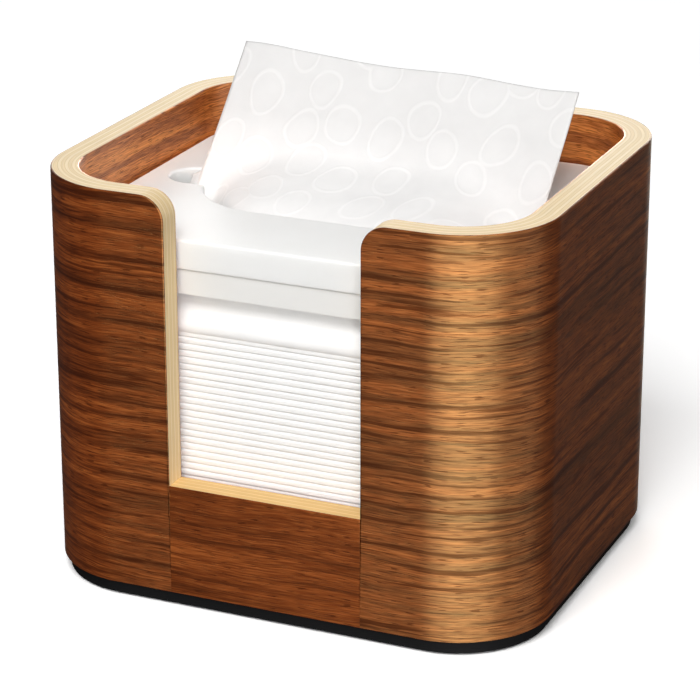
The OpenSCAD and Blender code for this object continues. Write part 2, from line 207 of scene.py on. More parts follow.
def board_layer(name, top, place, near, far, rounded):
    """One layer of a board, between two depths behind its face. top is its outline from the lower
    left corner over the top to the lower right one, as (along, height, way inwards along and up,
    edge radius). place turns (along, height, depth) into a point. rounded is "near", "far" or
    None, and says which face has eased edges. Returns the object with a UV map of its face,
    named grain, and one of its edge, named edge, whose V is the depth."""
    low = top[0][1]
    bottom = [(s, low, 0, 1, top[0][4]) for s, *_ in top[1:-1]]
    loop = top + bottom[::-1]
    count = len(loop)
    if rounded:
        turns = [math.pi / 8 * k for k in range(5)]
        near_rings = [(near, math.sin(t), math.cos(t), 1) for t in turns]
        far_rings = [(far, math.sin(t), math.cos(t), -1) for t in turns[::-1]]
        rings = near_rings + [(far, 1, 1, 0)] if rounded == "near" else [(near, 1, 1, 0)] + far_rings
    else:
        rings = [(near, 1, 1, 0), (far, 1, 1, 0)]
    points, grain, edge = [], [], []
    for depth, sine, cosine, sign in rings:
        run = 0
        for j, (s, z, ns, nz, r) in enumerate(loop):
            inset, sunk = r * (1 - sine), depth + sign * r * (1 - cosine)
            s1, z1 = s + ns * inset, z + nz * inset
            points.append(place(s1, z1, sunk))
            grain.append((s1, z1))
            edge.append((run, sunk))
            after = loop[(j + 1) % count]
            run += math.hypot(after[0] - s, after[1] - z)
    faces = []
    for k in range(len(rings) - 1):
        for j in range(count):
            a, b = k * count + j, k * count + (j + 1) % count
            faces.append((a, b, b + count, a + count))
    upper = list(range(len(top)))
    lower = [0] + list(range(count - 1, len(top) - 1, -1)) + [len(top) - 1]
    for base, turn in ((0, 1), ((len(rings) - 1) * count, -1)):
        for j in range(len(top) - 1):
            # The stations of a vertical side have the corner below them, and make triangles there
            face = []
            for i in (lower[j], lower[j + 1], upper[j + 1], upper[j]):
                if base + i not in face:
                    face.append(base + i)
            if len(face) > 2:
                faces.append(tuple(face[::turn]))
    piece = mesh_object(name, points, faces, {"grain": grain, "edge": edge})
    outward(piece)
    flat_faces_first(piece)
    return piece


def outward(piece):
    """Turns the faces of a closed shell outwards."""
    shell = bmesh.new()
    shell.from_mesh(piece.data)
    bmesh.ops.recalc_face_normals(shell, faces=shell.faces)
    shell.to_mesh(piece.data)
    shell.free()


def wrap_outline(length, stops, box):
    """The outline of the wrap, unrolled: the sides of the window, their turn into the rim, and the
    rim."""
    low, rim, r = WOOD_LOW.z, WOOD_HIGH.z, box.window_r
    seam, eased, rail = box.seam_r, box.edge_r, RAIL_HIGH.z
    up = [(0, low, 1, 1, seam), (0, rail - 0.0004, 1, 0, seam), (0, rail + 0.0004, 1, 0, eased)]
    for k in range(13):
        t = math.pi - math.pi / 2 * k / 12
        up.append((r + r * math.cos(t), rim - r + r * math.sin(t), -math.cos(t), -math.sin(t), eased))
    along = [(s, rim, 0, -1, eased) for s in stops if r < s < length - r]
    down = [(length - s, z, -ns, nz, e) for s, z, ns, nz, e in reversed(up)]
    return up + along + down


def rail_outline(box):
    """The outline of the rail, whose ends meet the wrap at the seams."""
    low, high = RAIL_LOW.z, RAIL_HIGH.z
    half = RAIL_HIGH.x - 0.00001
    seam, eased = box.seam_r, box.edge_r
    left = [(-half, low, 1, 1, seam), (-half, high - 0.001, 1, 0, seam), (-half, high, 1, -1, eased)]
    return left + [(-s, z, -ns, nz, e) for s, z, ns, nz, e in reversed(left)]


def round_rectangle(half_x, half_y, radius, steps=12):
    """The points of a rectangle with round corners, counterclockwise from its right side."""
    points = []
    for corner, (sx, sy) in enumerate(((1, 1), (-1, 1), (-1, -1), (1, -1))):
        for i in range(steps + 1):
            a = math.pi / 2 * (corner + i / steps)
            points.append(
                (
                    sx * (half_x - radius) + radius * math.cos(a),
                    sy * (half_y - radius) + radius * math.sin(a),
                )
            )
    return points


def opening_outline(plate, grow, steps=10):
    """The plate's opening, a long slot with a wide middle, grown by a distance."""
    slot_half = LEAF_HIGH.x + plate.slot_end_gap
    slot_r = plate.slot_w / 2
    mouth_half = slot_half - plate.nose_l
    mouth_r = PLATE_HIGH.y - plate.land_d
    slot_x, mouth_x = slot_half - slot_r, mouth_half - mouth_r
    slot_r, mouth_r = slot_r + grow, mouth_r + grow
    meet = math.asin(slot_r / mouth_r)
    quarter = []
    for i in range(steps + 1):
        a = math.pi / 2 * i / steps
        quarter.append((slot_x + slot_r * math.cos(a), slot_r * math.sin(a)))
    for i in range(2 * steps + 1):
        a = meet + (math.pi / 2 - meet) * i / (2 * steps)
        quarter.append((mouth_x + mouth_r * math.cos(a), mouth_r * math.sin(a)))
    back = [(-x, y) for x, y in reversed(quarter)]
    upper = quarter + back[1:]
    return upper + [(x, -y) for x, y in reversed(upper[1:-1])]


def ring_solid(name, rings, sharp=40):
    """A closed solid from outlines at heights, joined each to the next and the last to the first.
    Outlines with different numbers of points are joined by a flat face with a hole."""
    points, starts, faces = [], [], []
    for outline, z in rings:
        starts.append(len(points))
        points += [Vector((x, y, z)) for x, y in outline]
    for k, (outline, z) in enumerate(rings):
        after = (k + 1) % len(rings)
        a, b, n = starts[k], starts[after], len(outline)
        if n == len(rings[after][0]):
            faces += [(a + i, a + (i + 1) % n, b + (i + 1) % n, b + i) for i in range(n)]
        else:
            m = len(rings[after][0])
            both = [points[a : a + n], points[b : b + m]]
            for tri in tessellate_polygon(both):
                faces.append(tuple(a + i if i < n else b + i - n for i in tri))
    piece = mesh_object(name, points, faces, sharp=sharp)
    outward(piece)
    flat_faces_first(piece)
    return piece


# ---- Materials ----


def link(value, socket):
    """Links an output, or the first output of a node, to an input."""
    if isinstance(value, bpy.types.Node):
        value = value.outputs[0]
    socket.id_data.links.new(value, socket)


def node_adder(tree):
    """The function that adds a node to this tree, with its settings and inputs. A node or an
    output among the inputs is linked."""

    def add(kind, inputs=None, **settings):
        made = tree.nodes.new(kind)
        for name, value in settings.items():
            setattr(made, name, value)
        for name, value in (inputs or {}).items():
            if isinstance(value, (bpy.types.Node, bpy.types.NodeSocket)):
                link(value, made.inputs[name])
            else:
                made.inputs[name].default_value = value
        return made

    return add


def new_material(name):
    """An empty material, the function that adds nodes to it, and a Principled shader on its
    output."""
    material = bpy.data.materials.new(name)
    material.use_nodes = True
    material.node_tree.nodes.clear()
    add = node_adder(material.node_tree)
    shader = add("ShaderNodeBsdfPrincipled")
    add("ShaderNodeOutputMaterial", {"Surface": shader})
    return material, add, shader


def set_ramp(ramp, stops):
    """Gives a Color Ramp node its (position, colour) stops."""
    elements = ramp.color_ramp.elements
    while len(elements) > 1:
        elements.remove(elements[-1])
    elements[0].position, elements[0].color = stops[0][0], (*stops[0][1], 1)
    for position, colour in stops[1:]:
        elements.new(position).color = (*colour, 1)


def walnut_veneer(
    name, shift, streaks, lift, fibre_shine=0.15, gloss_tint="#f4efa2", ior=1.62, rough=0.46, paler=(1, 1, 1)
):
    """Sliced walnut veneer under satin lacquer. Growth rings show as soft bands and dark streaks
    that run level round the box, a few millimetres apart, with short open pores along them. The
    lacquered fibres lie level too, so that a lamp's shine is drawn out up and down, in gold.
    shift moves the pattern, streaks is the strength of the dark ones and lift the lightness."""
    colours = bpy.context.scene.holder_colours
    material, add, shader = new_material(name)
    uv = add("ShaderNodeUVMap", uv_map="grain")
    moved = add("ShaderNodeVectorMath", {0: uv, 1: shift}, operation="ADD")

    def pattern(source, along, across, detail):
        """Noise drawn out along the grain, its size given in metres along and across it."""
        scaled = add(
            "ShaderNodeMapping", {"Vector": source, "Scale": (1 / along, 1 / across, 1)}
        )
        return add("ShaderNodeTexNoise", {"Vector": scaled, "Scale": 1, "Detail": detail})

    def below(value, low, high, amount):
        """The amount where the value is under low, falling softly to none at high."""
        return add(
            "ShaderNodeMapRange",
            {"Value": value, "From Min": low, "From Max": high, "To Min": amount, "To Max": 0.0},
            interpolation_type="SMOOTHSTEP",
        )

    # The rings wander up and down by 2 mm over a hand's width, 0.4 mm over a thumb's, and a little
    # over a few millimetres
    bent = moved
    for along, across, reach in (
        (0.16, 0.09, 0.010), (0.030, 0.016, 0.0018), (0.007, 0.004, 0.0004)
    ):
        drift = pattern(moved, along, across, 0).outputs["Color"]
        centred = add(
            "ShaderNodeVectorMath", {0: drift, 1: (0.5, 0.5, 0.5)}, operation="SUBTRACT"
        )
        pushed = add(
            "ShaderNodeVectorMath", {0: centred, 1: (0, reach, 0)}, operation="MULTIPLY"
        )
        bent = add("ShaderNodeVectorMath", {0: bent, 1: pushed}, operation="ADD")
    # Bands 7 mm high, rings 3 mm, dark lines 2 mm, fibres 0.5 mm, pores 0.4 mm high and 6 mm long
    bands = pattern(bent, 0.30, 0.0075, 1)
    rings = pattern(bent, 0.11, 0.0031, 2)
    lines = pattern(bent, 0.045, 0.0016, 2).outputs["Color"]
    fibres = pattern(bent, 0.011, 0.00055, 3)
    pores = pattern(bent, 0.006, 0.00042, 0)
    lines = add("ShaderNodeSeparateXYZ", {0: lines}).outputs[1]
    tone = add("ShaderNodeMath", {0: bands, 1: 0.30}, operation="MULTIPLY")
    tone = add("ShaderNodeMath", {0: rings, 1: 0.32, 2: tone}, operation="MULTIPLY_ADD")
    tone = add("ShaderNodeMath", {0: fibres, 1: 0.38, 2: tone}, operation="MULTIPLY_ADD")
    tone = add("ShaderNodeMath", {0: tone, 1: lift}, operation="ADD")
    dark, mid, light = colours.walnut_dark, colours.walnut_mid, colours.walnut_light
    between = [(a + b) / 2 for a, b in zip(dark, mid)]
    ramp = add("ShaderNodeValToRGB", {"Fac": tone})
    set_ramp(ramp, [(0.36, dark), (0.45, between), (0.52, mid), (0.66, light)])
    streak = below(rings, 0.34, 0.43, streaks)
    line = below(lines, 0.34, 0.42, streaks)
    dash = below(pores, 0.30, 0.38, 0.65)
    dark_part = add("ShaderNodeMath", {0: streak, 1: line}, operation="MAXIMUM")
    dark_part = add("ShaderNodeMath", {0: dark_part, 1: dash}, operation="MAXIMUM")
    colour = add(
        "ShaderNodeMix",
        {0: dark_part, 6: ramp, 7: (*[c * 0.75 for c in dark], 1)}, data_type="RGBA",
    ).outputs[2]
    # The colour is scaled here: unchanged outside, a darker tone on the rail, and on the lining painted sheen and
    # painted light
    colour = add("ShaderNodeVectorMath", {0: colour, 1: paler}, operation="MULTIPLY")
    link(colour, shader.inputs["Base Color"])
    roughness = add(
        "ShaderNodeMapRange", {"Value": fibres, "To Min": rough, "To Max": rough + 0.14}
    )
    link(roughness, shader.inputs["Roughness"])
    relief = add(
        "ShaderNodeMath", {0: dash, 1: -1.0, 2: fibres}, operation="MULTIPLY_ADD"
    )
    bump = add(
        "ShaderNodeBump", {"Height": relief, "Distance": 0.00009, "Strength": 0.6}
    )
    link(bump, shader.inputs["Normal"])
    along = add("ShaderNodeTangent", direction_type="UV_MAP", uv_map="grain")
    link(along, shader.inputs["Tangent"])
    # The shine of the fibres has the colour of the wood, which a part of Metallic gives. The
    # lacquer's own shine is golden, uneven from fibre to fibre, and weak over the dark growth
    glint = add(
        "ShaderNodeMapRange",
        {"Value": fibres, "From Min": 0.38, "From Max": 0.62, "To Min": 0.62, "To Max": 1.0},
    )
    glossy = add(
        "ShaderNodeMix",
        {0: dark_part, 6: (*srgb(gloss_tint), 1), 7: (0.30, 0.14, 0.05, 1)}, data_type="RGBA",
    ).outputs[2]
    glossy = add("ShaderNodeVectorMath", {0: glossy, 3: glint}, operation="SCALE")
    link(glossy, shader.inputs["Specular Tint"])
    shader.inputs["Metallic"].default_value = fibre_shine
    shader.inputs["Anisotropic"].default_value = 0.85
    shader.inputs["Anisotropic Rotation"].default_value = 0.25
    shader.inputs["IOR"].default_value = ior
    shader.inputs["Specular IOR Level"].default_value = 0.6
    return material


def birch_plywood(name, tint):
    """Edges of birch plywood under clear lacquer: pale and deeper plies by turns, with a thin
    glue line between them and fine fibres along each. tint warms the colour."""
    colours = bpy.context.scene.holder_colours
    box = bpy.context.scene.holder_box
    material, add, shader = new_material(name)
    uv = add("ShaderNodeUVMap", uv_map="edge")
    parts = add("ShaderNodeSeparateXYZ", {0: uv})
    ply_t = (box.wall_t - 2 * box.veneer_t) / box.plies
    # How many plies deep a point is, with a slight waver in each ply's thickness
    waver = add(
        "ShaderNodeMapping", {"Vector": uv, "Scale": (1 / 0.035, 1 / 0.004, 1)}
    )
    waver = add("ShaderNodeTexNoise", {"Vector": waver, "Scale": 1, "Detail": 1})
    depth = add(
        "ShaderNodeMath", {0: parts.outputs[1], 1: -box.veneer_t}, operation="ADD"
    )
    depth = add("ShaderNodeMath", {0: depth, 1: 1 / ply_t}, operation="MULTIPLY")
    depth = add("ShaderNodeMath", {0: waver, 1: 0.35, 2: depth}, operation="MULTIPLY_ADD")
    depth = add("ShaderNodeMath", {0: depth, 1: -0.175}, operation="ADD")
    turn = add("ShaderNodeMath", {0: depth, 1: 1.0}, operation="PINGPONG")
    # PINGPONG rises over one ply and falls over the next, so its middle value is a border
    part = add(
        "ShaderNodeMapRange",
        {"Value": turn, "From Min": 0.30, "From Max": 0.70}, interpolation_type="SMOOTHSTEP",
    )
    border = add("ShaderNodeMath", {0: turn, 1: 0.5, 2: 0.13}, operation="COMPARE")
    fibre = add(
        "ShaderNodeMapping", {"Vector": uv, "Scale": (1 / 0.018, 1 / 0.00035, 1)}
    )
    fibre = add("ShaderNodeTexNoise", {"Vector": fibre, "Scale": 1, "Detail": 2})
    plies = add(
        "ShaderNodeMix",
        {0: part, 6: (*colours.birch_pale, 1), 7: (*colours.birch_deep, 1)}, data_type="RGBA",
    ).outputs[2]
    lined = add("ShaderNodeMath", {0: border, 1: 0.36}, operation="MULTIPLY")
    glued = add(
        "ShaderNodeMix", {0: lined, 6: plies, 7: (*colours.glue_line, 1)}, data_type="RGBA"
    ).outputs[2]
    grey = add(
        "ShaderNodeMapRange", {"Value": fibre, "From Min": 0.3, "From Max": 0.7, "To Min": 0.90, "To Max": 1.05}
    )
    shaded = add("ShaderNodeVectorMath", {0: glued, 3: grey}, operation="SCALE")
    shaded = add("ShaderNodeVectorMath", {0: shaded, 1: tint}, operation="MULTIPLY")
    link(shaded, shader.inputs["Base Color"])
    bump = add("ShaderNodeBump", {"Height": fibre, "Distance": 0.00003, "Strength": 0.5})
    link(bump, shader.inputs["Normal"])
    shader.inputs["Roughness"].default_value = 0.5
    shader.inputs["Specular IOR Level"].default_value = 0.05
    return material


def plain_finish(name, colour, roughness, grain, depth, metallic=0.0, gloss=0.5, glow=0.0):
    """A moulded, rubber or metal surface of one colour, with a fine grain in its height and a
    slight change of roughness. grain is the size of that grain, depth its height, gloss the
    strength of its reflections, and glow how far light spreads inside it."""
    material, add, shader = new_material(name)
    place = add("ShaderNodeTexCoord").outputs["Object"]
    fine = add(
        "ShaderNodeTexNoise", {"Vector": place, "Scale": 1 / grain, "Detail": 2}
    )
    broad = add(
        "ShaderNodeTexNoise", {"Vector": place, "Scale": 1 / 0.03, "Detail": 2}
    )
    tint = add(
        "ShaderNodeMapRange", {"Value": broad, "To Min": 0.97, "To Max": 1.03}
    )
    shaded = add(
        "ShaderNodeVectorMath", {0: colour[:3], 3: tint}, operation="SCALE"
    )
    link(shaded, shader.inputs["Base Color"])
    rough = add(
        "ShaderNodeMapRange", {"Value": broad, "To Min": roughness - 0.05, "To Max": roughness + 0.05}
    )
    link(rough, shader.inputs["Roughness"])
    bump = add("ShaderNodeBump", {"Height": fine, "Distance": depth, "Strength": 0.5})
    link(bump, shader.inputs["Normal"])
    shader.inputs["Metallic"].default_value = metallic
    shader.inputs["Specular IOR Level"].default_value = gloss
    if glow:
        shader.inputs["Subsurface Weight"].default_value = 0.8
        shader.inputs["Subsurface Radius"].default_value = (1, 1, 1)
        shader.inputs["Subsurface Scale"].default_value = glow
    return material


def tissue_paper(name, emboss=0.0):
    """White paper tissue: soft and matt, with short fibres and a fine crepe. With emboss, the
    outlines of smooth pebbles stand up from it, that many metres wide."""
    colours = bpy.context.scene.holder_colours
    material, add, shader = new_material(name)
    place = add("ShaderNodeTexCoord").outputs["Object"]
    if emboss:
        place = add("ShaderNodeUVMap", uv_map="sheet")
    fibres = add(
        "ShaderNodeTexNoise", {"Vector": place, "Scale": 1 / 0.0009, "Detail": 3, "Roughness": 0.6}
    )
    cloud = add(
        "ShaderNodeTexNoise", {"Vector": place, "Scale": 1 / 0.008, "Detail": 2}
    )
    height = add("ShaderNodeMath", {0: fibres, 1: 0.35}, operation="MULTIPLY")
    shade = add(
        "ShaderNodeMapRange", {"Value": cloud, "From Min": 0.3, "From Max": 0.7, "To Min": 0.97, "To Max": 1.0}
    )
    if emboss:
        # Pebbles of about the given size lie at a slant, no two alike, each with a raised rim
        wobble = add("ShaderNodeTexNoise", {"Vector": place, "Scale": 1 / 0.02, "Detail": 0}).outputs["Color"]
        wobble = add("ShaderNodeVectorMath", {0: wobble, 3: 0.006}, operation="SCALE")
        bent = add("ShaderNodeVectorMath", {0: place, 1: wobble}, operation="ADD")
        slanted = add(
            "ShaderNodeMapping",
            {"Vector": bent, "Rotation": (0, 0, 0.6), "Scale": (1 / emboss, 0.75 / emboss, 1)},
        )
        middle = add(
            "ShaderNodeTexVoronoi", {"Vector": slanted, "Scale": 1, "Randomness": 0.55},
            voronoi_dimensions="2D", feature="F1",
        ).outputs["Distance"]
        away = add("ShaderNodeMath", {0: middle, 1: 0.36}, operation="SUBTRACT")
        away = add("ShaderNodeMath", {0: away}, operation="ABSOLUTE")
        ring = add(
            "ShaderNodeMapRange", {"Value": away, "From Min": 0.01, "From Max": 0.055, "To Min": 1.0, "To Max": 0.0},
            interpolation_type="SMOOTHSTEP",
        )
        inside = add(
            "ShaderNodeMapRange", {"Value": middle, "From Min": 0.20, "From Max": 0.36, "To Min": 0.25, "To Max": 0.0},
        )
        relief = add("ShaderNodeMath", {0: ring, 1: inside}, operation="MAXIMUM")
        height = add("ShaderNodeMath", {0: relief, 1: 1.6, 2: height}, operation="MULTIPLY_ADD")
        # Near the plate the paper is folded double and whiter; above it one ply is greyer, and this darkening up the
        # leaf is also painted shade, for the light that gathers at its root by the plate
        along = add("ShaderNodeSeparateXYZ", {0: place}).outputs[1]
        single = add(
            "ShaderNodeMapRange", {"Value": along, "From Min": 0.008, "From Max": 0.044, "To Min": 1.0, "To Max": 0.80}
        )
        shade = add("ShaderNodeMath", {0: shade, 1: single}, operation="MULTIPLY")
        # The raised rims and the plateaus inside them are also painted up to 5 % lighter: a painted highlight where
        # they catch the light
        shade = add("ShaderNodeMath", {0: relief, 1: 0.05, 2: shade}, operation="MULTIPLY_ADD")
    paper = list(colours.paper_white)
    shaded = add("ShaderNodeVectorMath", {0: paper, 3: shade}, operation="SCALE")
    link(shaded, shader.inputs["Base Color"])
    bump = add("ShaderNodeBump", {"Height": height, "Distance": 0.00012, "Strength": 0.5})
    link(bump, shader.inputs["Normal"])
    shader.inputs["Roughness"].default_value = 0.9
    shader.inputs["Specular IOR Level"].default_value = 0.2
    return material


# ---- Operators ----


class HOLDER_OT_wrap(bpy.types.Operator):
    """Builds the bent plywood wrap with its two veneers, open at the window"""

    bl_idname = "holder.wrap"
    bl_label = "Plywood wrap"

    def execute(self, context):
        box = context.scene.holder_box
        half_gap = RAIL_HIGH.x
        length, at, stops = wall_line(half_gap, box.corner_r)

        def place(s, z, depth):
            point, away = at(s)
            return (*(point - away * depth), z)

        outline = wrap_outline(length, stops, box)
        inner = box.wall_t - box.veneer_t
        core = board_layer("plywood_wrap", outline, place, box.veneer_t, inner, None)
        finish_piece(
            core, birch_plywood("Lacquered birch plywood", (1, 1, 1)), "holder", "birch_ply", "wrap_core"
        )
        outside = board_layer("walnut_outside", outline, place, 0, box.veneer_t, "near")
        finish_piece(
            outside, walnut_veneer("Walnut veneer, outside", (0, 0, 0), 0.7, 0.0),
            "holder", "walnut_face", "outer_veneer",
        )
        inside = board_layer("walnut_lining", outline, place, inner, box.wall_t, "far")
        finish_piece(
            # Sanded finer and lacquered fuller than outside, so that it mirrors the plate. Its colour is also painted
            # about twice as light and greyer than outside, and lifted by 0.06: painted sheen and painted light for the
            # shaded inside
            inside, walnut_veneer("Walnut veneer, inside", (1.3, 0.4, 0), 0.1, 0.06, 0.15, "#ffdcb8", 2.1, 0.34, (1.95, 2.75, 2.9)),
            "holder", "walnut_inside", "inner_veneer",
        )
        return {"FINISHED"}


class HOLDER_OT_rail(bpy.types.Operator):
    """Builds the rail below the window, with its veneers and dowels"""

    bl_idname = "holder.rail"
    bl_label = "Front rail"

    def execute(self, context):
        box = context.scene.holder_box
        face = -WOOD_HIGH.y

        def place(s, z, depth):
            return s, face + depth, z

        outline = rail_outline(box)
        inner = box.wall_t - box.veneer_t
        plywood = birch_plywood("Lacquered birch plywood, rail", (1.0, 0.87, 0.66))
        core = board_layer("plywood_rail", outline, place, box.veneer_t, inner, None)
        finish_piece(core, plywood, "holder", "birch_ply", "rail_core")
        front = board_layer("walnut_rail_front", outline, place, 0, box.veneer_t, "near")
        finish_piece(
            front, walnut_veneer("Walnut veneer, rail", (2.1, 0.9, 0), 0.3, 0.03, 0.25, "#ffc880", paler=(0.85, 0.85, 0.85)),
            "holder", "walnut_rail", "rail_face_veneer",
        )
        back = board_layer("walnut_rail_back", outline, place, inner, box.wall_t, "far")
        finish_piece(
            back, bpy.data.materials["Walnut veneer, inside"], "holder", "walnut_inside", "rail_back_veneer"
        )
        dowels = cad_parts["rail_dowels"]
        dowels.data.materials[0] = plain_finish("Turned beech", srgb("#c79d6b"), 0.6, 0.0006, 0.00005)
        return {"FINISHED"}


class HOLDER_OT_base(bpy.types.Operator):
    """Finishes the black base, its rubber feet and its screws"""

    bl_idname = "holder.base"
    bl_label = "Base"

    def execute(self, context):
        colours = context.scene.holder_colours
        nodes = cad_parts
        nodes["base_tray"].data.materials[0] = plain_finish(
            "Moulded black ABS", colours.base_black, 0.6, 0.0005, 0.00003, gloss=0.05
        )
        rubber = plain_finish("Moulded rubber", srgb("#1d1d1d"), 0.8, 0.0007, 0.00005)
        for name in ("foot_front_left", "foot_front_right", "foot_rear_left", "foot_rear_right"):
            nodes[name].data.materials[0] = rubber
        nodes["base_screws"].data.materials[0] = plain_finish(
            "Zinc-plated steel", srgb("#b4b6b8"), 0.3, 0.0004, 0.00001, 1.0
        )
        return {"FINISHED"}


class HOLDER_OT_plate(bpy.types.Operator):
    """Builds the cover of the press plate, and finishes its tray, bars and screws"""

    bl_idname = "holder.plate"
    bl_label = "Press plate"

    def execute(self, context):
        plate = context.scene.holder_plate
        colours = context.scene.holder_colours
        top, low = PLATE_HIGH.z, PLATE_LOW.z
        parting = top - 0.0113  # the cover's side ends here, above the tray
        r, wall = plate.edge_r, plate.wall_t

        def outer(inset):
            return round_rectangle(
                PLATE_HIGH.x - inset, PLATE_HIGH.y - inset, plate.corner_r - inset, 16
            )

        rings = [(outer(0.0003), parting), (outer(0), parting + 0.0003)]
        for k in range(5):
            a = math.pi / 8 * k
            rings.append((outer(r * (1 - math.cos(a))), top - r * (1 - math.sin(a))))
        for k in range(5):
            a = math.pi / 8 * k
            rings.append((opening_outline(plate, r * (1 - math.sin(a))), top - r * (1 - math.cos(a))))
        rings += [(opening_outline(plate, 0), low + 0.0003), (opening_outline(plate, 0.0003), low)]
        rings += [(opening_outline(plate, wall), low), (opening_outline(plate, wall), top - plate.top_t)]
        rings += [(outer(wall), top - plate.top_t), (outer(wall), parting)]
        cover = ring_solid("plate_cover", rings)
        frosted = plain_finish("Frosted ABS", colours.plate_white, 0.5, 0.0004, 0.00002, gloss=0.25, glow=0.003)
        finish_piece(cover, frosted, "press_plate", "frosted_plastic", "press_plate_cover")
        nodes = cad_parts
        # The tray is painted greyer than the cover: painted shade where it sits under the cover's edge
        nodes["press_plate_tray"].data.materials[0] = plain_finish(
            "Frosted ABS, tray", srgb("#e6e5e2"), 0.55, 0.0004, 0.00002, gloss=0.25
        )
        steel = plain_finish("Bright drawn steel bar", srgb("#8f9296"), 0.35, 0.0005, 0.00001, 1.0)
        for name in ("ballast_bar_front", "ballast_bar_rear"):
            nodes[name].data.materials[0] = steel
        nodes["plate_screws"].data.materials[0] = bpy.data.materials["Zinc-plated steel"]
        return {"FINISHED"}


